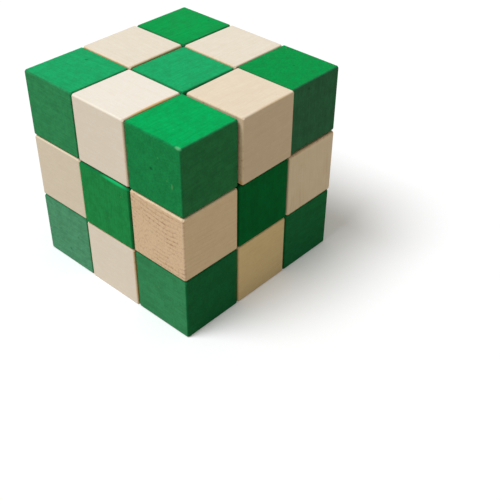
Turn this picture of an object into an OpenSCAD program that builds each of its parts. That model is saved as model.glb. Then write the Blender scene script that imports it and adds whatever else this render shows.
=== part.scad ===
// Wooden cube puzzle: twenty-seven small cubes threaded on one elastic cord.
// Modelled as it is kept, folded into a solid block three cubes wide each way.
// The block stands on its bottom layer, and the origin is the centre of that face.

/* [Cubes] */
// Edge length of one small cube
cube_w = 19.7; // [16:0.1:26]
// Play between neighbouring cubes in the folded block
cube_gap = 0.3; // [0.2:0.05:0.6]
// Radius of the rounded long edges of a cube
edge_r = 0.5; // [0.3:0.1:2]
// How far sanding takes each sharp corner back towards the middle of its cube
corner_sanding = 0.25; // [0.05:0.05:0.6]
// Share of the loose seating that the photographed block shows, from none to all
looseness = 1; // [0:0.1:1]

/* [Elastic cord] */
// Diameter of the elastic cord
cord_d = 3; // [2:0.1:3.6]
// Play all round the cord in its bores
cord_play = 1; // [0.9:0.05:1.3]
// Running gap between the cord and the inner corner that it is drawn against
corner_play = 0.3; // [0.1:0.05:0.5]
// Width of the countersink at the mouth of each bore
mouth_w = 0.4; // [0.1:0.1:0.8]

/* [Cord ends] */
// Wall thickness of the glued plug that holds a cord end in its cube
plug_wall = 1.5; // [1:0.1:2]
// Length of the plug
plug_l = 5.5; // [4:0.1:6.6]
// How far the plug is driven below the face of its cube
plug_sunk = 0.4; // [0.1:0.1:0.8]
// Glue line round the plug
glue_gap = 0.05; // [0.02:0.01:0.1]
// Play between the knot and the wall of its hole
knot_play = 0.5; // [0.3:0.05:0.8]
// Length of cord left beyond the knot
cord_tail = 1; // [0.5:0.1:1.5]

/* [Hidden] */
$fn = 64;
// Distance between the centres of neighbouring cubes
pitch = cube_w + cube_gap;
bore_d = cord_d + 2 * cord_play;
plug_d = bore_d + 2 * plug_wall;
knot_d = plug_d - 2 * knot_play;
// The two turns of a stopper knot lie close, so they share a fifth of their width
knot_turn_step = 0.8 * cord_d;
knot_l = knot_turn_step + cord_d;
knot_seat = 0.2;
end_hole_l = plug_sunk + plug_l + knot_seat + knot_l + cord_tail + knot_play;
// The bend that leaves the running gap at the inner corner where two bores meet
bend_r = (sqrt(2) * bore_d / 2 - cord_d / 2 - corner_play) / (sqrt(2) - 1);
// Radius of the sanding ball that takes the corners back
corner_reach = (cube_w / 2 - edge_r) * sqrt(3) + edge_r * sqrt(1.5) - corner_sanding;
// A little extra so that cutting tools pass through the faces that they cut
through = 1;

// The block's fold: each entry is a straight run of the string, in whole cubes.
// The runs are three or two cubes long, counted with the cube that they turn at.
RUNS = [
    [0, 0, 2], [0, 1, 0], [0, 0, -1], [2, 0, 0], [0, 1, 0], [-2, 0, 0],
    [0, 0, 1], [1, 0, 0], [0, -2, 0], [0, 0, -2], [0, 1, 0], [-1, 0, 0],
    [0, 1, 0], [2, 0, 0], [0, -2, 0], [0, 0, 2], [0, 2, 0]
];
FIRST_CELL = [-1, -1, 0];
STEPS = [for (run = RUNS) for (k = [1 : norm(run)]) run / norm(run)];
COUNT = len(STEPS) + 1;
function cell(i) = i == 1 ? FIRST_CELL : cell(i - 1) + STEPS[i - 2];
function center(i) = cell(i) * pitch + [0, 0, cube_w / 2];
function to_next(i) = STEPS[i - 1];
function to_last(i) = -STEPS[i - 2];
function is_end(i) = i == 1 || i == COUNT;
function is_straight(i) = !is_end(i) && to_next(i) == -to_last(i);
// The side of an end cube that its cord leaves by
function end_side(i) = i == 1 ? to_next(i) : to_last(i);

// The string divides here: the cubes between these two stay locked in the middle
FIRST_LOCKED = 7;
LAST_LOCKED = 19;

// How single cubes sit off their places: number, shift in mm, turn in degrees
SEATS = [
    [4, [-0.15, 0.05, 0.1], [0, 0, 0.6]],
    [7, [0.2, 0, 0], [0, 0, 0]],
    [8, [0.3, 0.1, 0], [0, 0, 0.3]],
    [12, [0, 0.05, 0], [0, 0, -0.3]],
    [13, [0.1, 0, -0.1], [0, 0, -0.7]],
    [14, [0.05, -0.2, 0.1], [0, 0, 0]],
    [15, [0, -0.45, 0], [0, 0, 0.3]],
    [16, [-0.12, -0.15, 0], [0, 0, 0]],
    [24, [0.1, -0.15, 0], [0, 0, -0.4]],
    [26, [1.1, 0.06, 0.45], [0, 0, 0.5]],
    [27, [0.1, 0.15, 0.1], [0, 0, 0]]
];
function seat(i) = [for (s = SEATS) if (s[0] == i) s];
function seat_shift(i) = len(seat(i)) == 0 ? [0, 0, 0] : seat(i)[0][1] * looseness;
function seat_turn(i) = len(seat(i)) == 0 ? [0, 0, 0] : seat(i)[0][2] * looseness;

// A straight cube that sits further off than its bore has play carries the cord along
bore_slack = cord_play - corner_play;
function off_line(i) = seat_shift(i) - (seat_shift(i) * to_next(i)) * to_next(i);
function cord_carry(i) =
    norm(off_line(i)) <= bore_slack
        ? [0, 0, 0]
        : off_line(i) * (1 - bore_slack / norm(off_line(i)));

GREEN = "seagreen";
NATURAL = "burlywood";
CORD = "whitesmoke";
PLUG = "tan";

// Turns what is drawn along +Z so that it points along a row direction
module point_along(way) {
    rotate([0, acos(way[2]), atan2(way[1], way[0])]) children();
}

// A prism along Z with a square outline and four rounded edges
module rounded_prism() {
    flat = cube_w - 2 * edge_r;
    linear_extrude(cube_w, center = true) {
        square([flat, cube_w], center = true);
        square([cube_w, flat], center = true);
        for (x = [-1, 1], y = [-1, 1]) {
            translate([x, y] * flat / 2) circle(r = edge_r);
        }
    }
}

// One wooden cube before drilling: edges rounded, corners sanded
module cube_blank() {
    intersection() {
        rounded_prism();
        rotate([90, 0, 0]) rounded_prism();
        rotate([0, 90, 0]) rounded_prism();
        sphere(r = corner_reach, $fn = 96);
    }
}

// The countersink where a hole of diameter d meets a face
module mouth(d) {
    translate([0, 0, cube_w / 2 - mouth_w]) {
        cylinder(d1 = d, d2 = d + 2 * (mouth_w + through), h = mouth_w + through);
    }
}

// A bore right through a cube, for a stretch where the cord runs straight
module straight_bore() {
    cylinder(d = bore_d, h = cube_w + 2 * through, center = true);
    mouth(bore_d);
    mirror([0, 0, 1]) mouth(bore_d);
}

// A bore from one face to just past the middle, where it meets another
module half_bore() {
    translate([0, 0, -bore_d / 2]) {
        cylinder(d = bore_d, h = (bore_d + cube_w) / 2 + through);
    }
    mouth(bore_d);
}

// The blind hole in an end cube, which holds the knot and the plug
module end_hole() {
    translate([0, 0, cube_w / 2 - end_hole_l]) {
        cylinder(d = plug_d + 2 * glue_gap, h = end_hole_l + through);
    }
    mouth(plug_d + 2 * glue_gap);
}

module bores(i) {
    if (is_end(i)) {
        point_along(end_side(i)) end_hole();
    } else if (is_straight(i)) {
        point_along(to_next(i)) straight_bore();
    } else {
        point_along(to_next(i)) half_bore();
        point_along(to_last(i)) half_bore();
    }
}

// A finished cube in its place, with the small shift and turn that it sits at
module wooden_cube(i) {
    color(i % 2 == 1 ? GREEN : NATURAL)
    translate(center(i) + seat_shift(i))
    rotate(seat_turn(i))
    difference() {
        cube_blank();
        bores(i);
    }
}

// A stretch of cord from the bend, or from the middle, out to half the gap
module cord_arm(start) {
    translate([0, 0, start]) cylinder(d = cord_d, h = pitch / 2 - start);
}

// The quarter bend between two arms that point along a and b
module cord_bend(a, b) {
    across = cross(a, b);
    multmatrix([
        [a[0], b[0], across[0], 0],
        [a[1], b[1], across[1], 0],
        [a[2], b[2], across[2], 0],
        [0, 0, 0, 1]
    ])
    translate([bend_r, bend_r, 0])
    rotate([0, 0, 180])
    rotate_extrude(angle = 90) translate([bend_r, 0]) circle(d = cord_d);
}

// The knotted end of the cord: two turns round the cord, and a short tail
module cord_end() {
    knot_top = cube_w / 2 - plug_sunk - plug_l - knot_seat;
    tail_end = knot_top - knot_l - cord_tail;
    cord_arm(tail_end);
    for (turn = [0, 1]) {
        translate([0, 0, knot_top - cord_d / 2 - turn * knot_turn_step])
        rotate_extrude() translate([(knot_d - cord_d) / 2, 0]) circle(d = cord_d);
    }
}

// The cord inside one cube, from joint to joint
module cord_stretch(i) {
    color(CORD)
    translate(center(i)) {
        if (is_end(i)) {
            point_along(end_side(i)) cord_end();
        } else if (is_straight(i)) {
            translate(cord_carry(i))
            point_along(to_next(i)) cylinder(d = cord_d, h = pitch, center = true);
        } else {
            point_along(to_next(i)) cord_arm(bend_r);
            point_along(to_last(i)) cord_arm(bend_r);
            cord_bend(to_next(i), to_last(i));
        }
    }
}

// The cord through the cubes that stay locked, in one piece
module cord_middle() {
    for (i = [FIRST_LOCKED : LAST_LOCKED]) cord_stretch(i);
}

// A drilled dowel glued into an end cube over the knot
module end_plug(i) {
    color(PLUG)
    translate(center(i) + seat_shift(i))
    rotate(seat_turn(i))
    point_along(end_side(i))
    translate([0, 0, cube_w / 2 - plug_sunk - plug_l])
    difference() {
        cylinder(d = plug_d, h = plug_l);
        translate([0, 0, -through]) cylinder(d = bore_d, h = plug_l + 2 * through);
    }
}

wooden_cube(1);  // cube_01
wooden_cube(2);  // cube_02
wooden_cube(3);  // cube_03
wooden_cube(4);  // cube_04
wooden_cube(5);  // cube_05
wooden_cube(6);  // cube_06
wooden_cube(7);  // cube_07
wooden_cube(8);  // cube_08
wooden_cube(9);  // cube_09
wooden_cube(10);  // cube_10
wooden_cube(11);  // cube_11
wooden_cube(12);  // cube_12
wooden_cube(13);  // cube_13
wooden_cube(14);  // cube_14
wooden_cube(15);  // cube_15
wooden_cube(16);  // cube_16
wooden_cube(17);  // cube_17
wooden_cube(18);  // cube_18
wooden_cube(19);  // cube_19
wooden_cube(20);  // cube_20
wooden_cube(21);  // cube_21
wooden_cube(22);  // cube_22
wooden_cube(23);  // cube_23
wooden_cube(24);  // cube_24
wooden_cube(25);  // cube_25
wooden_cube(26);  // cube_26
wooden_cube(27);  // cube_27
cord_stretch(1);  // cord_01
cord_stretch(2);  // cord_02
cord_stretch(3);  // cord_03
cord_stretch(4);  // cord_04
cord_stretch(5);  // cord_05
cord_stretch(6);  // cord_06
cord_middle();
cord_stretch(20);  // cord_20
cord_stretch(21);  // cord_21
cord_stretch(22);  // cord_22
cord_stretch(23);  // cord_23
cord_stretch(24);  // cord_24
cord_stretch(25);  // cord_25
cord_stretch(26);  // cord_26
cord_stretch(27);  // cord_27
end_plug(1);  // end_plug_01
end_plug(27);  // end_plug_27
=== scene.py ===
import math
import bpy
from mathutils import Matrix, Vector


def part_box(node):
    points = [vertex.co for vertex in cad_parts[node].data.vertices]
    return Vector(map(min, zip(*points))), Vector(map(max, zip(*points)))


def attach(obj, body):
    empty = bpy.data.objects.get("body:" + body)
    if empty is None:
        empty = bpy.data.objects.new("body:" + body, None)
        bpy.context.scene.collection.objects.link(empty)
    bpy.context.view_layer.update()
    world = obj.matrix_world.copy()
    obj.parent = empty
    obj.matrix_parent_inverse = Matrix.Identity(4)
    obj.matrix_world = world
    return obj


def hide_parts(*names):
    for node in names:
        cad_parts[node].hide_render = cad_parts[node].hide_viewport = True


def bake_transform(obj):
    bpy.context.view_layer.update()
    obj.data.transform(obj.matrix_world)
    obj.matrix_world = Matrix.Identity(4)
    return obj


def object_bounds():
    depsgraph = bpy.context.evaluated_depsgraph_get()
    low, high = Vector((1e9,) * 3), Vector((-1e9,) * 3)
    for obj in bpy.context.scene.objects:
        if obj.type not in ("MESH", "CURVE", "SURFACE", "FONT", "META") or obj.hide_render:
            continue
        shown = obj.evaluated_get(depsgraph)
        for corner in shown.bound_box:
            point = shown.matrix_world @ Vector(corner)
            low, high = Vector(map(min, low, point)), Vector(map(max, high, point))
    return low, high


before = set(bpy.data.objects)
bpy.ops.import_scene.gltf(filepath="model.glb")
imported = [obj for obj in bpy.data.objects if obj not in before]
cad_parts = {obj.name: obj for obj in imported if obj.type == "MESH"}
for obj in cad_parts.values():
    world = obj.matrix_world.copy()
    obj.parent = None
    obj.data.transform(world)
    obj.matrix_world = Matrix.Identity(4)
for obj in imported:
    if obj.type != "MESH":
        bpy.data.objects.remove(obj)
cadCorners = [list(corner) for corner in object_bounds()]
mm = 0.001
for leftover in ("Cube", "Light", "Camera"):  # what a new Blender file starts with
    if leftover in bpy.data.objects:
        bpy.data.objects.remove(bpy.data.objects[leftover])
bpy.context.scene.view_settings.view_transform = "Standard"
print("frame loaded with", len(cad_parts), "pieces")


# Camera

cameraView = {
    "azimuth": 41.5,  # degrees, 0 looks along +Y
    "elevation": 38.1,
    "roll": 1.0,
    "place": (0.1521, -0.1433, 0.1611),
    "lens": 60.7,  # mm on a sensor 36 mm wide
    "clipStart": 0.01,
}


def addCamera(view):
    azimuth, elevation, roll = (math.radians(view[k]) for k in ("azimuth", "elevation", "roll"))
    level = math.cos(elevation)
    back = Vector((math.sin(azimuth) * level, -math.cos(azimuth) * level, math.sin(elevation)))
    right = Vector((0, 0, 1)).cross(back).normalized()
    up = back.cross(right)
    turnedRight = right * math.cos(roll) + up * math.sin(roll)
    turnedUp = up * math.cos(roll) - right * math.sin(roll)
    bpy.ops.object.camera_add(location=view["place"])
    camera = bpy.context.object
    place = Matrix((turnedRight, turnedUp, back)).transposed().to_4x4()
    place.translation = view["place"]
    camera.matrix_world = place
    camera.data.lens = view["lens"]
    camera.data.clip_start = view["clipStart"]
    bpy.context.scene.camera = camera


addCamera(cameraView)
print("camera placed")


# Small helpers for node trees

def addNode(tree, kind, inputs=None, **settings):
    made = tree.nodes.new("ShaderNode" + kind)
    for key, value in settings.items():
        setattr(made, key, value)
    for key, value in (inputs or {}).items():
        if isinstance(value, bpy.types.NodeSocket):
            tree.links.new(value, made.inputs[key])
        else:
            made.inputs[key].default_value = value
    return made


def calc(tree, operation, *values):
    return addNode(tree, "Math", dict(enumerate(values)), operation=operation).outputs[0]


def vectorCalc(tree, operation, *values):
    made = addNode(tree, "VectorMath", dict(enumerate(values)), operation=operation)
    return made.outputs[1] if operation in ("LENGTH", "DOT_PRODUCT") else made.outputs[0]


def ramp(tree, value, start, end, atStart=0.0, atEnd=1.0):
    inputs = {"Value": value, "From Min": start, "From Max": end, "To Min": atStart, "To Max": atEnd}
    return addNode(tree, "MapRange", inputs, interpolation_type="SMOOTHSTEP").outputs[0]


def between(tree, mask, atNone, atFull):
    return ramp(tree, mask, 0.0, 1.0, atNone, atFull)


def share(tree, mask, amount):
    return calc(tree, "MULTIPLY", mask, amount)


def tint(tree, factor, first, second, how="MIX"):
    inputs = {0: factor, 6: first, 7: second}
    return addNode(tree, "Mix", inputs, data_type="RGBA", blend_type=how).outputs[2]


def layered(tree, colour, layers, how="MIX"):  # each layer is a mask, its strength and its tone
    for mask, strength, tone in layers:
        colour = tint(tree, share(tree, mask, strength), colour, tone, how)
    return colour


def noise(tree, vector, scale, detail, roughness):
    inputs = {"Vector": vector, "Scale": scale, "Detail": detail, "Roughness": roughness}
    return addNode(tree, "TexNoise", inputs).outputs[0]


def seededPlace(tree, place, seed, seedWay):  # moved along, so that no two cubes show the same pattern
    moved = addNode(tree, "VectorMath", {0: seedWay, "Scale": seed}, operation="SCALE").outputs[0]
    return vectorCalc(tree, "ADD", place, moved)


def bumped(tree, height, strength, depth):
    inputs = {"Strength": strength, "Distance": depth * mm, "Height": height}
    return addNode(tree, "Bump", inputs).outputs[0]


def newMaterial(name):
    material = bpy.data.materials.new(name)
    material.use_nodes = True
    material.node_tree.nodes.clear()
    return material, material.node_tree


def finishSurface(tree, inputs):
    surface = addNode(tree, "BsdfPrincipled", inputs)
    addNode(tree, "OutputMaterial", {"Surface": surface.outputs[0]})


def newGroup(name, inputs, outputs):  # an input that a material may leave out has a value after its kind
    tree = bpy.data.node_groups.new(name, "ShaderNodeTree")
    for label, kind, *value in inputs:
        made = tree.interface.new_socket(name=label, in_out="INPUT", socket_type="NodeSocket" + kind)
        if value:
            made.default_value = value[0]
    for label in outputs:
        tree.interface.new_socket(name=label, in_out="OUTPUT", socket_type="NodeSocketFloat")
    return tree, tree.nodes.new("NodeGroupInput"), tree.nodes.new("NodeGroupOutput")


def placeGroup(tree, group, inputs):
    return addNode(tree, "Group", inputs, node_tree=group).outputs


# Floor and light

studioLight = {
    "towardsKey": (-0.15, -0.34, 0.70),
    "keyStrength": 2.55,
    "keyAngle": 30,  # degrees across, so that shadows are soft
    "skyColour": (1.0, 0.91, 0.77, 1),
    "skyStrength": 0.34,
    "floorSeen": (0.86, 0.885, 0.93, 1),
    "floorBounce": (0.50, 0.42, 0.31, 1),
    "floorGlow": 0.13,
    "floorSize": 4,
}
black, white = (0, 0, 0, 1), (1, 1, 1, 1)


def addLight(light):  # a wide soft sun, and a plain warm sky that lights the shadows
    towards = Vector(light["towardsKey"])
    bpy.ops.object.light_add(type="SUN", rotation=towards.to_track_quat("Z", "Y").to_euler())
    key = bpy.context.object.data
    key.energy = light["keyStrength"]
    key.angle = math.radians(light["keyAngle"])

    world = bpy.data.worlds.new("studio")
    bpy.context.scene.world = world
    world.use_nodes = True
    tree = world.node_tree
    tree.nodes.clear()
    path = addNode(tree, "LightPath").outputs
    seen = calc(tree, "MAXIMUM", path["Is Camera Ray"], path["Is Glossy Ray"])
    seen = calc(tree, "MAXIMUM", seen, path["Is Transmission Ray"])
    sky = addNode(tree, "Background", {"Color": light["skyColour"], "Strength": light["skyStrength"]})
    backdrop = addNode(tree, "Background", {"Color": white, "Strength": 1})
    mixed = addNode(tree, "MixShader", {0: seen, 1: sky.outputs[0], 2: backdrop.outputs[0]})
    addNode(tree, "OutputWorld", {"Surface": mixed.outputs[0]})


def addFloor(light):
    bpy.ops.mesh.primitive_plane_add(size=light["floorSize"], location=(0, 0, cadCorners[0][2]))
    floor = bpy.context.object
    floor.name = "studioFloor"
    material, tree = newMaterial("paleFloor")
    seen = addNode(tree, "LightPath").outputs["Is Camera Ray"]
    finishSurface(tree, {
        "Base Color": tint(tree, seen, light["floorBounce"], light["floorSeen"]),
        "Roughness": 1, "Specular IOR Level": 0,
        "Emission Color": tint(tree, seen, black, white), "Emission Strength": light["floorGlow"],
    })
    floor.data.materials.append(material)


addLight(studioLight)
addFloor(studioLight)
print("floor and light placed")


# The fold of the string: straight runs in whole cubes, as the cubes are threaded

foldRuns = [
    (0, 0, 2), (0, 1, 0), (0, 0, -1), (2, 0, 0), (0, 1, 0), (-2, 0, 0),
    (0, 0, 1), (1, 0, 0), (0, -2, 0), (0, 0, -2), (0, 1, 0), (-1, 0, 0),
    (0, 1, 0), (2, 0, 0), (0, -2, 0), (0, 0, 2), (0, 2, 0),
]
firstLocked, lastLocked = 7, 19  # the cubes that stay together in the middle
middleCube = 6  # the cube at the heart of the block


def nodeSize(node):
    low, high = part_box(node)
    return high - low


def nodeCentre(node):
    low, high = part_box(node)
    return (low + high) / 2


cubeWidth = nodeSize("cube_02").x
pitch = nodeSize("cord_02").z
cordWidth = nodeSize("cord_02").x


def stringPlaces():
    found = {1: Vector((-pitch, -pitch, cubeWidth / 2))}
    for run in foldRuns:
        way = Vector(run).normalized()
        for step in range(round(Vector(run).length)):
            found[len(found) + 1] = found[len(found)] + way * pitch
    return found


places = stringPlaces()
lastCube = len(places)


def wayOn(cube):  # from this cube to the next
    return (places[cube + 1] - places[cube]).normalized()


def isSameWay(first, second):  # ways run along the axes, so the slack is only for rounding
    return (first - second).length < 0.1


def isEnd(cube):
    return cube in (1, lastCube)


def isStraight(cube):
    return not isEnd(cube) and isSameWay(wayOn(cube), wayOn(cube - 1))


def bodyOf(cube):
    return "middle" if firstLocked <= cube <= lastLocked else f"body_{cube:02d}"


# Wood: node groups that every cube shares.
# In their values, a noise is its scale, detail and roughness. A ramp is its start and end, and its values
# there where they aren't 0 and 1.

woodPattern = {
    "seedWay": (17.3, 41.7, 9.1),
    "ringWidth": 2.6, "pithDistance": 45.0,  # mm
    "wanderStretch": (1, 1, 0.25), "wanderNoise": (0.06, 2.0, 0.5), "wander": 2.5,  # mm, from in to out
    "lateRise": (0.45, 0.85), "lateEnd": (0.85, 1.0, 1.0, 0.0),  # shares of a ring
    "fadeNoise": (0.12, 2.0, 0.5), "fade": (0.38, 0.62, 0.1, 1.0),
    "fibreStretch": (2.6, 2.6, 0.11), "fibreNoise": (1.0, 4.0, 0.65), "fibres": (0.3, 0.7),
    "vesselStretch": (1.5, 1.5, 0.16), "vessels": (0.12, 0.30, 1.0, 0.0),
    "fleckStretch": (1.25, 1.25, 0.10), "fleckNoise": (1.0, 2.0, 0.6), "flecks": (0.50, 0.66),
    "fleckDepth": 0.7, "fibreHeight": 0.5,
}


def buildSolidWood(pattern):
    group, given, result = newGroup("solidWood", [
        ("Vector", "Vector"),  # millimetres, with the grain along Z
        ("Seed", "Float"),
        ("Ring Width", "Float", pattern["ringWidth"]),
        ("Pith Distance", "Float", pattern["pithDistance"]),
    ], ["Rings", "Fibres", "Pores", "Height"])
    place = given.outputs["Vector"]
    seeded = seededPlace(group, place, given.outputs["Seed"], pattern["seedWay"])

    def stretched(name):
        return vectorCalc(group, "MULTIPLY", seeded, pattern[name])

    slow = noise(group, stretched("wanderStretch"), *pattern["wanderNoise"])
    wander = calc(group, "MULTIPLY", calc(group, "SUBTRACT", slow, 0.5), pattern["wander"])
    pith = addNode(group, "CombineXYZ", {"X": given.outputs["Pith Distance"]}).outputs[0]
    fromPith = vectorCalc(group, "SUBTRACT", vectorCalc(group, "MULTIPLY", place, (1, 1, 0)), pith)
    radius = calc(group, "ADD", vectorCalc(group, "LENGTH", fromPith), wander)
    phase = calc(group, "FRACT", calc(group, "DIVIDE", radius, given.outputs["Ring Width"]))
    lateRise, lateEnd = ramp(group, phase, *pattern["lateRise"]), ramp(group, phase, *pattern["lateEnd"])
    fade = ramp(group, noise(group, seeded, *pattern["fadeNoise"]), *pattern["fade"])
    rings = calc(group, "MULTIPLY", calc(group, "MULTIPLY", lateRise, lateEnd), fade)

    fibres = ramp(group, noise(group, stretched("fibreStretch"), *pattern["fibreNoise"]), *pattern["fibres"])
    cells = addNode(group, "TexVoronoi", {"Vector": stretched("vesselStretch"), "Scale": 1.0}).outputs
    vessels = ramp(group, cells["Distance"], *pattern["vessels"])
    flecks = ramp(group, noise(group, stretched("fleckStretch"), *pattern["fleckNoise"]), *pattern["flecks"])
    pores = calc(group, "MAXIMUM", vessels, share(group, flecks, pattern["fleckDepth"]))
    height = calc(group, "SUBTRACT", share(group, fibres, pattern["fibreHeight"]), pores)
    for label, socket in (("Rings", rings), ("Fibres", fibres), ("Pores", pores), ("Height", height)):
        group.links.new(socket, result.inputs[label])
    return group


faceLabels = ("Across X", "Across Y", "Across Z")
faceZones = {  # ramps in mm in from the surface
    "onFace": (0.1, 0.6, 1.0, 0.0), "endGrain": (0.1, 0.7, 1.0, 0.0), "inside": (0.5, 1.2),
    "edgeNoise": (0.7, 3.0, 0.5), "edgeUneven": 0.9,  # mm
}


def buildCubeFaces(zones):
    group, given, result = newGroup("cubeFaces", [
        ("Vector", "Vector"),  # millimetres from the middle of the cube
        ("Grain", "Vector"),
        ("Half Width", "Float"),
        ("Edge Reach", "Float"),
    ], ["Edge", "End Grain", "Inside", *faceLabels])
    place, half = given.outputs["Vector"], given.outputs["Half Width"]
    away = addNode(group, "SeparateXYZ", {0: vectorCalc(group, "ABSOLUTE", place)}).outputs
    for label, distance in zip(faceLabels, away):
        onFace = ramp(group, calc(group, "SUBTRACT", half, distance), *zones["onFace"])
        group.links.new(onFace, result.inputs[label])

    def combined(operation):
        return calc(group, operation, calc(group, operation, away[0], away[1]), away[2])

    largest, smallest, total = combined("MAXIMUM"), combined("MINIMUM"), combined("ADD")
    second = calc(group, "SUBTRACT", calc(group, "SUBTRACT", total, largest), smallest)
    wobble = calc(group, "SUBTRACT", noise(group, place, *zones["edgeNoise"]), 0.5)
    reach = calc(group, "SUBTRACT", half, given.outputs["Edge Reach"])
    edge = ramp(group, calc(group, "ADD", second, share(group, wobble, zones["edgeUneven"])), reach, half)
    alongGrain = calc(group, "ABSOLUTE", vectorCalc(group, "DOT_PRODUCT", place, given.outputs["Grain"]))
    endGrain = ramp(group, calc(group, "SUBTRACT", half, alongGrain), *zones["endGrain"])
    inside = ramp(group, calc(group, "SUBTRACT", half, largest), *zones["inside"])
    for label, socket in (("Edge", edge), ("End Grain", endGrain), ("Inside", inside)):
        group.links.new(socket, result.inputs[label])
    return group


blotchPattern = {
    "seedWay": (31.1, 7.7, 23.9),
    "broadNoise": (0.38, 3.0, 0.6), "fineNoise": (1.5, 3.0, 0.65), "mottle": (0.38, 0.62),
    "specks": (("Dark Specks", 0.22, 0.80), ("Pale Specks", 0.34, 0.84)),  # scale, and the share left clean
    "dot": (0.05, 0.13, 1.0, 0.0),
}


def buildBlotches(pattern):
    group, given, result = newGroup("blotches", [
        ("Vector", "Vector"), ("Seed", "Float"),
    ], ["Mottle", "Dark Specks", "Pale Specks"])
    seeded = seededPlace(group, given.outputs["Vector"], given.outputs["Seed"], pattern["seedWay"])
    broad, fine = noise(group, seeded, *pattern["broadNoise"]), noise(group, seeded, *pattern["fineNoise"])
    mixed = calc(group, "ADD", share(group, broad, 0.5), share(group, fine, 0.5))
    group.links.new(ramp(group, mixed, *pattern["mottle"]), result.inputs["Mottle"])
    for label, scale, clean in pattern["specks"]:
        cells = addNode(group, "TexVoronoi", {"Vector": seeded, "Scale": scale}).outputs
        chosen = addNode(group, "SeparateColor", {0: cells["Color"]}).outputs[0]
        dot = ramp(group, cells["Distance"], *pattern["dot"])
        mask = calc(group, "MULTIPLY", dot, calc(group, "GREATER_THAN", chosen, clean))
        group.links.new(mask, result.inputs[label])
    return group


jointShadeZones = {  # mm from a face, where the painted joint shade starts and where it is full
    "inJoint": (0.45, 0.05), "nearOutside": (2.2, 0.4),
}


def buildJointGrime(zones):  # painted shade and warm bounced light in the joints, just inside the block's outer faces
    group, given, result = newGroup("jointGrime", [
        ("Vector", "Vector"), ("Half Width", "Float"),
        ("Neighbours Above", "Vector"),  # 1 for each axis where a cube lies on that side
        ("Neighbours Below", "Vector"),
    ], ["Grime"])
    none, full = (0, 0, 0), (1, 1, 1)

    def rise(vector, start, end):  # 0 further than start from a face, 1 nearer than end
        reach = calc(group, "SUBTRACT", given.outputs["Half Width"], start)
        level = addNode(group, "CombineXYZ", {"X": reach, "Y": reach, "Z": reach}).outputs[0]
        over = vectorCalc(group, "DIVIDE", vectorCalc(group, "SUBTRACT", vector, level), (start - end,) * 3)
        return vectorCalc(group, "MINIMUM", vectorCalc(group, "MAXIMUM", over, none), full)

    def highest(vectors):
        found = 0.0
        for vector in vectors:
            for part in addNode(group, "SeparateXYZ", {0: vector}).outputs:
                found = calc(group, "MAXIMUM", part, found)
        return found

    inJoint, nearOutside = [], []
    for sign, label in ((1, "Neighbours Above"), (-1, "Neighbours Below")):
        towards = vectorCalc(group, "MULTIPLY", given.outputs["Vector"], (sign, sign, sign))
        joined = given.outputs[label]
        bare = vectorCalc(group, "SUBTRACT", full, joined)
        inJoint.append(vectorCalc(group, "MULTIPLY", rise(towards, *zones["inJoint"]), joined))
        nearOutside.append(vectorCalc(group, "MULTIPLY", rise(towards, *zones["nearOutside"]), bare))
    jointShadeMask = calc(group, "MULTIPLY", highest(inJoint), highest(nearOutside))
    group.links.new(jointShadeMask, result.inputs["Grime"])
    return group


solidWood = buildSolidWood(woodPattern)
cubeFaces = buildCubeFaces(faceZones)
blotches = buildBlotches(blotchPattern)
jointGrime = buildJointGrime(jointShadeZones)
print("wood groups built")


# Cubes

grainTurns = {
    "x": Matrix.Rotation(math.radians(90), 3, "Y"),
    "y": Matrix.Rotation(math.radians(-90), 3, "X"),
    "z": Matrix.Identity(3),
}
grainWays = {"x": (1, 0, 0), "y": (0, 1, 0), "z": (0, 0, 1)}

stains = {  # the body of the stain, and a face where it has soaked in deeper; that soaked tone is also painted shade
    "bright": {"body": (0.001, 0.455, 0.120, 1), "soakedAndShaded": (0.031, 0.25, 0.100, 1)},
    "even": {"body": (0.001, 0.376, 0.083, 1), "soakedAndShaded": (0.042, 0.203, 0.108, 1)},
    "milky": {"body": (0.013, 0.444, 0.159, 1), "soakedAndShaded": (0.046, 0.330, 0.136, 1)},
    "plain": {"body": (0.019, 0.338, 0.095, 1), "soakedAndShaded": (0.012, 0.25, 0.080, 1)},
    "chalky": {"body": (0.050, 0.333, 0.146, 1), "soakedAndShaded": (0.015, 0.213, 0.079, 1)},
    "worn": {"body": (0.105, 0.407, 0.238, 1), "soakedAndShaded": (0.030, 0.25, 0.110, 1)},
    "deep": {"body": (0.001, 0.180, 0.046, 1), "soakedAndShaded": (0.002, 0.14, 0.036, 1)},
}
stainDetail = {
    "shade": (0.74, 0.77, 0.75, 1),  # how much darker fibres, rings and end grain take the stain
    "mottleShow": 0.75, "fibreShow": 0.75, "ringShow": 0.25, "endShow": 0.35,
    # the speck tone colours the dark specks, and also the painted shade in the joints
    "endPoreShow": 0.25, "speckShow": 0.6, "speckAndJointShadeTone": (0.004, 0.09, 0.03, 1), "jointShadeShow": 0.3,
    "chipShow": 0.18, "chipTone": (0.20, 0.42, 0.20, 1),
    # the edge tone is painted shade: a dark line along the edges
    "edgeReach": 0.5, "edgeShadeAndHighlightShow": 0.4, "edgeShadeAndHighlightTone": (0.001, 0.15, 0.045, 1),
    "boreShow": 0.65, "roughness": (0.42, 0.56), "specular": 0.015,
}
# How far the stain has soaked in on the faces across X, Y and Z, from none to all. The soak across X is
# partly painted shade: it darkens the faces across X, among them the right faces turned away from the key
# light.
soakedAndShadedFaces = {
    1: (0.4, 0.0, 0.2), 3: (0.5, 0.9, 0.0), 5: (0.3, 0.5, 0.2), 7: (0.0, 0.3, 0.3), 9: (0.5, 0.2, 0.4),
    11: (0.5, 0.4, 0.0), 13: (0.5, 0.5, 0.0), 15: (0.3, 0.0, 0.4), 17: (0.3, 0.4, 0.2), 19: (0.4, 0.6, 0.3),
    21: (1.0, 0.3, 0.4), 23: (1.0, 0.0, 0.3), 25: (1.0, 0.5, 0.0), 27: (1.0, 0.5, 0.0),
}

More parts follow.
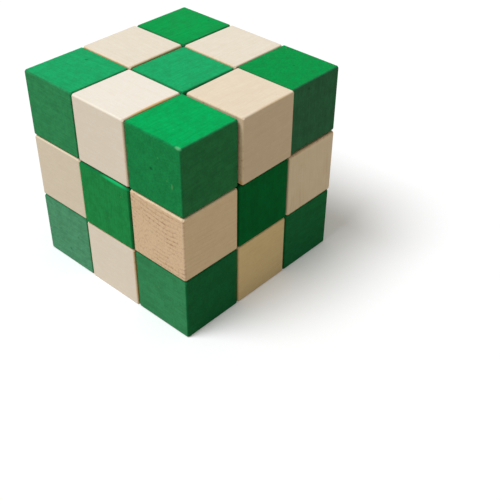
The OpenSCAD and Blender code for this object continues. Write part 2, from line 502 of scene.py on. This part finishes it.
bareWoods = {  # the pale body of the wood, its darker fibres, and its latewood lines
    "white": {"body": (0.86, 0.83, 0.77, 1), "fibre": (0.80, 0.74, 0.65, 1), "late": (0.72, 0.62, 0.50, 1)},
    "cream": {"body": (0.80, 0.75, 0.655, 1), "fibre": (0.73, 0.66, 0.54, 1), "late": (0.66, 0.55, 0.42, 1)},
    "light": {"body": (0.90, 0.83, 0.69, 1), "fibre": (0.84, 0.74, 0.58, 1), "late": (0.72, 0.58, 0.40, 1)},
    "pinkish": {"body": (0.80, 0.71, 0.58, 1), "fibre": (0.73, 0.62, 0.47, 1), "late": (0.66, 0.51, 0.36, 1)},
    "tan": {"body": (0.87, 0.75, 0.555, 1), "fibre": (0.78, 0.63, 0.44, 1), "late": (0.50, 0.32, 0.20, 1)},
    "golden": {"body": (0.87, 0.75, 0.46, 1), "fibre": (0.78, 0.63, 0.365, 1), "late": (0.50, 0.32, 0.17, 1)},
}
bareDetail = {
    "fibreShow": 0.45, "mottleShow": 0.4, "endDarker": 0.31, "endTone": (0.70, 0.48, 0.32, 1),
    "ringShow": (0.05, 0.30),  # on side grain and on end grain
    "poreShow": (0.05, 0.75), "poreInRings": (0.35, 1.0),  # pores crowd into the latewood
    "poreTone": (0.42, 0.25, 0.15, 1),
    # the edge tone is a painted highlight: a pale line along the edges
    "edgeReach": 0.9, "edgeShadeAndHighlightShow": 0.20, "edgeShadeAndHighlightTone": (0.90, 0.81, 0.65, 1),
    # the joint tone is painted shade and warm bounced light in the joints, fading off the edges
    "jointShadeShow": 0.45, "jointShadeAtEdge": (0.4, 1.0, 1.0, 0.4), "jointShadeTone": (0.74, 0.44, 0.14, 1),
    "boreShow": 0.6, "roughness": (0.55, 0.68), "specular": 0.12,
}
jointShadeShow = {4: 0.8, 8: 0.15, 14: 0.2, 16: 1.0, 22: 0.8, 24: 0.2, 26: 0.1}  # strength of the painted joint shade, where it isn't the usual

cubeDetail = {
    "tilts": (-2.5, 2.5, 2.5),  # degrees that the grain leans, taken in turn along the string
    "ringWidths": (2.0, 2.4, 2.8, 3.2, 3.6),  # mm, taken in turn
    "bump": 0.14, "bumpDepth": 0.05, "boreTone": (0.62, 0.47, 0.30, 1),
    "markFade": (0.5, 1.3),  # shares of a mark's reach
}
readRingWidths = {24: 1.3}  # mm, where the rings can be read
# Single marks and spots of painted highlight and shade: the middle and the reach in mm from the middle of the
# cube, the tone and its strength
marksAndPaintedLight = {
    14: [((9.7, 0, 9.7), (0.5, 8.5, 0.5), (0.70, 0.40, 0.10, 1), 0.75)],  # painted shade: a brown line along the joint
    15: [((4.5, -9.7, 9.6), (4.8, 0.5, 0.5), (0.01, 0.60, 0.19, 1), 0.65)],  # a painted highlight along the top edge
    25: [
        ((8.8, -9.6, 9.7), (0.95, 0.5, 0.45), (0.22, 0.66, 0.36, 1), 0.45),  # a painted highlight on the front edge, near the corner
        ((-0.9, -9.8, 0.2), (0.55, 0.5, 0.45), (0.004, 0.09, 0.03, 1), 0.7),  # a dark speck
        ((6.4, -9.8, -1.9), (0.3, 0.5, 0.9), (0.20, 0.42, 0.20, 1), 0.35),  # a pale fleck
    ],
    26: [
        ((9.2, -9.7, -9.0), (0.6, 0.6, 0.7), (0.74, 0.44, 0.14, 1), 0.8),  # a brown spot at the foot
        ((9.7, 2, 9.7), (0.45, 8, 0.45), (0.70, 0.50, 0.28, 1), 0.45),  # painted shade: a darker line along the top edge
    ],
}

# Each cube's finish, the way its grain runs, how far its rings are turned, and how clearly they show.
# Grain was read on cubes 8 and 24 to 27, and is a guess on the others.
cubeLooks = {
    1: ("worn", "x", 20, 0.5), 2: ("cream", "x", 110, 0.6), 3: ("milky", "x", 300, 0.6),
    4: ("cream", "x", 40, 0.6), 5: ("plain", "z", 200, 0.6), 6: ("pinkish", "x", 75, 0.8),
    7: ("deep", "z", 150, 1.0), 8: ("light", "z", 350, 2.6), 9: ("plain", "x", 30, 0.6),
    10: ("cream", "z", 90, 0.8), 11: ("even", "y", 240, 0.5), 12: ("cream", "y", 15, 0.9),
    13: ("milky", "y", 130, 0.7), 14: ("white", "x", 285, 0.7), 15: ("plain", "z", 60, 0.7),
    16: ("white", "x", 170, 0.7), 17: ("plain", "y", 10, 0.6), 18: ("cream", "z", 220, 0.8),
    19: ("plain", "x", 320, 0.6), 20: ("pinkish", "x", 45, 0.8), 21: ("chalky", "y", 95, 0.8),
    22: ("golden", "y", 265, 0.7), 23: ("chalky", "x", 5, 0.5), 24: ("tan", "y", 272, 1.5),
    25: ("bright", "y", 190, 0.9), 26: ("pinkish", "y", 80, 1.2), 27: ("even", "z", 310, 0.8),
}


def woodCoordinates(tree, centre, grain, turn, tilt):
    objectPlace = addNode(tree, "TexCoord").outputs["Object"]
    inputs = {"Vector": objectPlace, "Location": centre, "Scale": (mm, mm, mm)}
    atCube = addNode(tree, "Mapping", inputs, vector_type="TEXTURE").outputs[0]
    leaning = Matrix.Rotation(math.radians(tilt), 3, "X")
    turned = grainTurns[grain] @ leaning @ Matrix.Rotation(math.radians(turn), 3, "Z")
    inputs["Rotation"] = turned.to_euler()
    alongGrain = addNode(tree, "Mapping", inputs, vector_type="TEXTURE").outputs[0]
    return atCube, alongGrain


def stainedColour(tree, stain, soakedAndShaded, wood, faces, spots, ringShow):
    look, shade = stainDetail, stainDetail["shade"]
    # the soaked tone is partly painted shade on the faces across X
    soakedAndShadedIn = [(faces[label], depth, stain["soakedAndShaded"]) for label, depth in zip(faceLabels, soakedAndShaded) if depth]
    colour = layered(tree, stain["body"], soakedAndShadedIn)
    colour = layered(tree, colour, [
        (between(tree, spots["Mottle"], 1.0, 0.0), look["mottleShow"], shade),
        (wood["Fibres"], look["fibreShow"], shade),
        (wood["Rings"], look["ringShow"] * ringShow, shade),
        (faces["End Grain"], look["endShow"], shade),
    ], "MULTIPLY")
    endPores = calc(tree, "MULTIPLY", wood["Pores"], faces["End Grain"])
    colour = layered(tree, colour, [
        (endPores, look["endPoreShow"], look["speckAndJointShadeTone"]),
        (spots["Dark Specks"], look["speckShow"], look["speckAndJointShadeTone"]),
        (spots["Pale Specks"], look["chipShow"], look["chipTone"]),
        # painted shade: a dark line along the edges
        (faces["Edge"], look["edgeShadeAndHighlightShow"], look["edgeShadeAndHighlightTone"]),
        (faces["Inside"], look["boreShow"], cubeDetail["boreTone"]),
    ])
    return colour, between(tree, spots["Mottle"], *look["roughness"])


def bareColour(tree, bare, wood, faces, spots, ringShow):
    look, endGrain = bareDetail, faces["End Grain"]
    rings = calc(tree, "MULTIPLY", wood["Rings"], between(tree, endGrain, *look["ringShow"]))
    pores = calc(tree, "MULTIPLY", wood["Pores"], between(tree, endGrain, *look["poreShow"]))
    pores = calc(tree, "MULTIPLY", pores, between(tree, wood["Rings"], *look["poreInRings"]))
    colour = layered(tree, bare["body"], [
        (wood["Fibres"], look["fibreShow"], bare["fibre"]),
        (spots["Mottle"], look["mottleShow"], bare["fibre"]),
        (endGrain, look["endDarker"] * ringShow, look["endTone"]),
        (rings, ringShow, bare["late"]),
        (pores, ringShow, look["poreTone"]),
        # painted highlight: a pale line along the edges
        (faces["Edge"], look["edgeShadeAndHighlightShow"], look["edgeShadeAndHighlightTone"]),
        (faces["Inside"], look["boreShow"], cubeDetail["boreTone"]),
    ])
    return colour, between(tree, wood["Fibres"], *look["roughness"])


def woodMaterial(cube):
    finish, grain, turn, ringShow = cubeLooks[cube]
    stained = finish in stains
    look = stainDetail if stained else bareDetail
    material, tree = newMaterial(f"{'greenStained' if stained else 'bare'}Wood{cube:02d}")
    tilts, usualRings = cubeDetail["tilts"], cubeDetail["ringWidths"]
    centre = nodeCentre(f"cube_{cube:02d}")
    atCube, alongGrain = woodCoordinates(tree, centre, grain, turn, tilts[cube % len(tilts)])
    wood = placeGroup(tree, solidWood, {
        "Vector": alongGrain, "Seed": float(cube),
        "Ring Width": readRingWidths.get(cube, usualRings[cube % len(usualRings)]),
    })
    halfWidth = cubeWidth / 2 / mm
    faces = placeGroup(tree, cubeFaces, {
        "Vector": atCube, "Grain": grainWays[grain], "Half Width": halfWidth, "Edge Reach": look["edgeReach"],
    })
    spots = placeGroup(tree, blotches, {"Vector": atCube, "Seed": float(cube)})
    cell = [round(part / pitch) for part in places[cube] - places[middleCube]]
    # where painted shade falls in the joints
    jointShadeMask = placeGroup(tree, jointGrime, {
        "Vector": atCube, "Half Width": halfWidth,
        "Neighbours Above": [float(part < 1) for part in cell],
        "Neighbours Below": [float(part > -1) for part in cell],
    })["Grime"]
    grown = (wood, faces, spots, ringShow)
    if stained:
        colour, roughness = stainedColour(tree, stains[finish], soakedAndShadedFaces[cube], *grown)
        # painted shade in the joints, in the dark speck tone
        jointShadeLayer = (jointShadeMask, look["jointShadeShow"], look["speckAndJointShadeTone"])
    else:
        colour, roughness = bareColour(tree, bareWoods[finish], *grown)
        # painted shade and warm bounced light in the joints, weaker on the edges
        offEdge = calc(tree, "MULTIPLY", jointShadeMask, ramp(tree, faces["Edge"], *look["jointShadeAtEdge"]))
        jointShadeLayer = (offEdge, jointShadeShow.get(cube, look["jointShadeShow"]), look["jointShadeTone"])
    colour = layered(tree, colour, [jointShadeLayer])
    # marks, and spots of painted highlight and shade
    for middle, reach, tone, strength in marksAndPaintedLight.get(cube, []):
        away = vectorCalc(tree, "DIVIDE", vectorCalc(tree, "SUBTRACT", atCube, middle), reach)
        near = ramp(tree, vectorCalc(tree, "LENGTH", away), *cubeDetail["markFade"], strength, 0.0)
        colour = tint(tree, near, colour, tone)
    finishSurface(tree, {
        "Base Color": colour, "Roughness": roughness, "Specular IOR Level": look["specular"],
        "Normal": bumped(tree, wood["Height"], cubeDetail["bump"], cubeDetail["bumpDepth"]),
    })
    return material


def dress(piece, material):
    if not piece.material_slots:
        piece.data.materials.append(material)
    for slot in piece.material_slots:
        slot.material = material


for cube in places:
    dress(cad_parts[f"cube_{cube:02d}"], woodMaterial(cube))
print("cubes finished:", len(places))


# End plugs: short drilled dowels with dried glue round them

plugLooks = {
    "body": (0.74, 0.60, 0.42, 1), "fibre": (0.60, 0.44, 0.27, 1), "glueTone": (0.62, 0.48, 0.22, 1),
    "seed": 40.0, "pithDistance": 9.0, "ringShow": 0.4, "bump": 0.3, "bumpDepth": 0.05,
    "glue": (3.3, 3.95),  # mm from the axis, where it starts and is full
    "roughness": (0.6, 0.25),  # of the wood and of the glue
}


def plugMaterial(node, grain):
    look = plugLooks
    material, tree = newMaterial(f"dowelWood{node[-2:]}")
    alongGrain = woodCoordinates(tree, nodeCentre(node), grain, 0, 0)[1]
    wood = placeGroup(tree, solidWood, {
        "Vector": alongGrain, "Seed": look["seed"], "Pith Distance": look["pithDistance"],
    })
    radius = vectorCalc(tree, "LENGTH", vectorCalc(tree, "MULTIPLY", alongGrain, (1, 1, 0)))
    glue = ramp(tree, radius, *look["glue"])
    colour = tint(tree, wood["Fibres"], look["body"], look["fibre"])
    colour = layered(tree, colour, [(wood["Rings"], look["ringShow"], look["fibre"])])
    finishSurface(tree, {
        "Base Color": tint(tree, glue, colour, look["glueTone"]),
        "Roughness": between(tree, glue, *look["roughness"]),
        "Normal": bumped(tree, wood["Height"], look["bump"], look["bumpDepth"]),
    })
    return material


dress(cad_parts["end_plug_01"], plugMaterial("end_plug_01", "z"))
dress(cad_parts["end_plug_27"], plugMaterial("end_plug_27", "y"))
print("plugs finished")


# Elastic cord: a piece from the middle of each cube to the middle of the next

braidLooks = {
    "lay": 2.4, "strands": 8, "over": (-0.6, 0.9),
    # the groove tone is painted shade in the grooves between the threads
    "thread": (0.86, 0.85, 0.80, 1), "grooveShade": (0.42, 0.40, 0.36, 1),
    "bump": 0.7, "bumpDepth": 0.15, "sheen": 0.2,
    "roughness": (0.9, 0.7),  # in the grooves and on the threads
}
cordShape = {
    "boreWidth": 5 * mm, "cornerPlay": 0.3 * mm,
    "sides": 20, "bendRings": 7, "straightRings": 18,
    "knotSeat": 0.2 * mm, "knotWidth": 7 * mm, "knotTurns": 2, "knotStep": 2.4 * mm,
    "turnSteps": 24,  # in each turn of the knot
    "knotCore": 0.95,  # how thin the wraps squeeze the cord inside them
    "knotCord": 0.66,  # and how thin the wraps themselves are
    "tail": 1 * mm,
}
cornerToCord = math.sqrt(2) * cordShape["boreWidth"] / 2 - cordWidth / 2 - cordShape["cornerPlay"]
bendRadius = cornerToCord / (math.sqrt(2) - 1)


def braidMaterial():
    look = braidLooks
    material, tree = newMaterial("braidedElastic")
    along = addNode(tree, "SeparateXYZ", {0: addNode(tree, "TexCoord").outputs["UV"]}).outputs
    lay = calc(tree, "DIVIDE", along[0], look["lay"])
    strand = calc(tree, "MULTIPLY", along[1], look["strands"])
    waves = []
    for direction in ("ADD", "SUBTRACT"):
        turn = calc(tree, "MULTIPLY", calc(tree, direction, strand, lay), 2 * math.pi)
        waves.append(calc(tree, "SINE", turn))
    over = ramp(tree, calc(tree, "MAXIMUM", *waves), *look["over"])
    finishSurface(tree, {
        # painted shade in the grooves
        "Base Color": tint(tree, over, look["grooveShade"], look["thread"]),
        "Roughness": between(tree, over, *look["roughness"]),
        "Normal": bumped(tree, over, look["bump"], look["bumpDepth"]), "Sheen Weight": look["sheen"],
    })
    return material


elastic = braidMaterial()


def makeTube(name, route, radii):
    sides = cordShape["sides"]
    ahead = [(b - a).normalized() for a, b in zip(route, route[1:])]
    tangents = [ahead[0]] + [(a + b).normalized() for a, b in zip(ahead, ahead[1:])] + [ahead[-1]]
    side = tangents[0].orthogonal().normalized()
    corners, faces, faceUvs, travelled = [], [], [], 0.0
    for ring, (point, tangent, radius) in enumerate(zip(route, tangents, radii)):
        side = (side - tangent * side.dot(tangent)).normalized()
        across = tangent.cross(side)
        for s in range(sides):
            angle = 2 * math.pi * s / sides
            corners.append(point + (side * math.cos(angle) + across * math.sin(angle)) * radius)
        if ring == 0:
            continue
        before = travelled
        travelled += (point - route[ring - 1]).length / mm
        for s in range(sides):
            low, lowNext = (ring - 1) * sides + s, (ring - 1) * sides + (s + 1) % sides
            faces.append((low, lowNext, lowNext + sides, low + sides))
            v, vNext = s / sides, (s + 1) / sides
            faceUvs.append(((before, v), (before, vNext), (travelled, vNext), (travelled, v)))
    last = (len(route) - 1) * sides
    faces.append(tuple(reversed(range(sides))))
    faces.append(tuple(range(last, last + sides)))
    faceUvs += [((0.0, 0.0),) * sides, ((travelled, 0.0),) * sides]
    mesh = bpy.data.meshes.new(name)
    mesh.from_pydata(corners, [], faces)
    uvMap = mesh.uv_layers.new(name="cordUv")
    uvMap.data.foreach_set("uv", [n for face in faceUvs for uv in face for n in uv])
    mesh.polygons.foreach_set("use_smooth", [True] * (len(faces) - 2) + [False, False])
    piece = bpy.data.objects.new(name, mesh)
    bpy.context.scene.collection.objects.link(piece)
    dress(piece, elastic)
    return piece


def halfBend(cube, towards, other):  # from the middle of a corner cube out to its straight arm
    bendCentre = places[cube] + (towards + other) * bendRadius
    lastRing, halfCorner = cordShape["bendRings"] - 1, math.radians(45)
    angles = [halfCorner * (1 - k / lastRing) for k in range(lastRing + 1)]
    return [bendCentre - (other * math.cos(a) + towards * math.sin(a)) * bendRadius for a in angles]


def knotTop(cube, side):  # where the cord leaves its knot, under the plug
    plug = f"end_plug_{cube:02d}"
    length = abs(nodeSize(plug).dot(side))
    inner = (nodeCentre(plug) - places[cube]).dot(side) - length / 2 - cordShape["knotSeat"]
    return places[cube] + side * inner


def routeFrom(cube, towards):  # from inside a cube out to where the straight stretch begins
    if isEnd(cube):
        return [knotTop(cube, towards)]
    if isStraight(cube):
        node = f"cord_{cube:02d}"
        return [nodeCentre(node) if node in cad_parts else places[cube]]
    other = -wayOn(cube - 1) if isSameWay(towards, wayOn(cube)) else wayOn(cube)
    return halfBend(cube, towards, other)


def routeBetween(cube):
    way = wayOn(cube)
    first, second = routeFrom(cube, way), routeFrom(cube + 1, -way)
    start, end = first[-1], second[-1]
    forward = (end - start).dot(way)
    aside = (end - start) - way * forward
    straight = []
    for k in range(1, cordShape["straightRings"]):
        t = k / cordShape["straightRings"]
        eased = t * t * (3 - 2 * t)
        straight.append(start + way * forward * t + aside * eased)
    return first + straight + second[::-1], start, end


def makeCord():
    radius, locked = cordWidth / 2, []
    for cube in range(1, lastCube):
        route, start, end = routeBetween(cube)
        here, there = bodyOf(cube), bodyOf(cube + 1)
        if here == there:
            locked += route[1:] if locked else route
            continue
        piece = makeTube(f"elastic_{cube:02d}_{cube + 1:02d}", route, [radius] * len(route))
        nodes = {n for n in (f"cord_{cube:02d}", f"cord_{cube + 1:02d}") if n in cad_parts}
        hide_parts(*sorted(nodes))
        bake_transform(piece)
    middle = makeTube(f"elastic_{firstLocked:02d}_{lastLocked:02d}", locked, [radius] * len(locked))
    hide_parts("cord_middle")
    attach(middle, "middle")


def makeKnot(cube, side):  # a stopper knot: the tail is wrapped round the cord and drawn tight
    top, radius, inward = knotTop(cube, side), cordWidth / 2, -side
    thin, waist = radius * cordShape["knotCord"], radius * cordShape["knotCore"]
    length = cordShape["knotStep"] * cordShape["knotTurns"] + thin
    core = [top + inward * d for d in (0, length / 2, length, length + cordShape["tail"])]
    across = side.orthogonal().normalized()
    other = side.cross(across)
    wrapRadius = cordShape["knotWidth"] / 2 - thin
    steps = cordShape["turnSteps"] * cordShape["knotTurns"]
    wraps = [top + inward * thin]
    for k in range(steps + 1):
        turn = 2 * math.pi * k / cordShape["turnSteps"]
        depth = thin + (length - 2 * thin) * k / steps
        wraps.append(top + inward * depth + (across * math.cos(turn) + other * math.sin(turn)) * wrapRadius)
    wraps.append(top + inward * (length - thin))
    for name, route, radii in (
        (f"knot_core_{cube:02d}", core, [radius, waist, waist, radius]),
        (f"knot_wraps_{cube:02d}", wraps, [thin] * len(wraps)),
    ):
        piece = makeTube(name, route, radii)
        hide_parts(f"cord_{cube:02d}")
        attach(piece, bodyOf(cube))


makeCord()
makeKnot(1, wayOn(1))
makeKnot(lastCube, -wayOn(lastCube - 1))
print("elastic cord made")
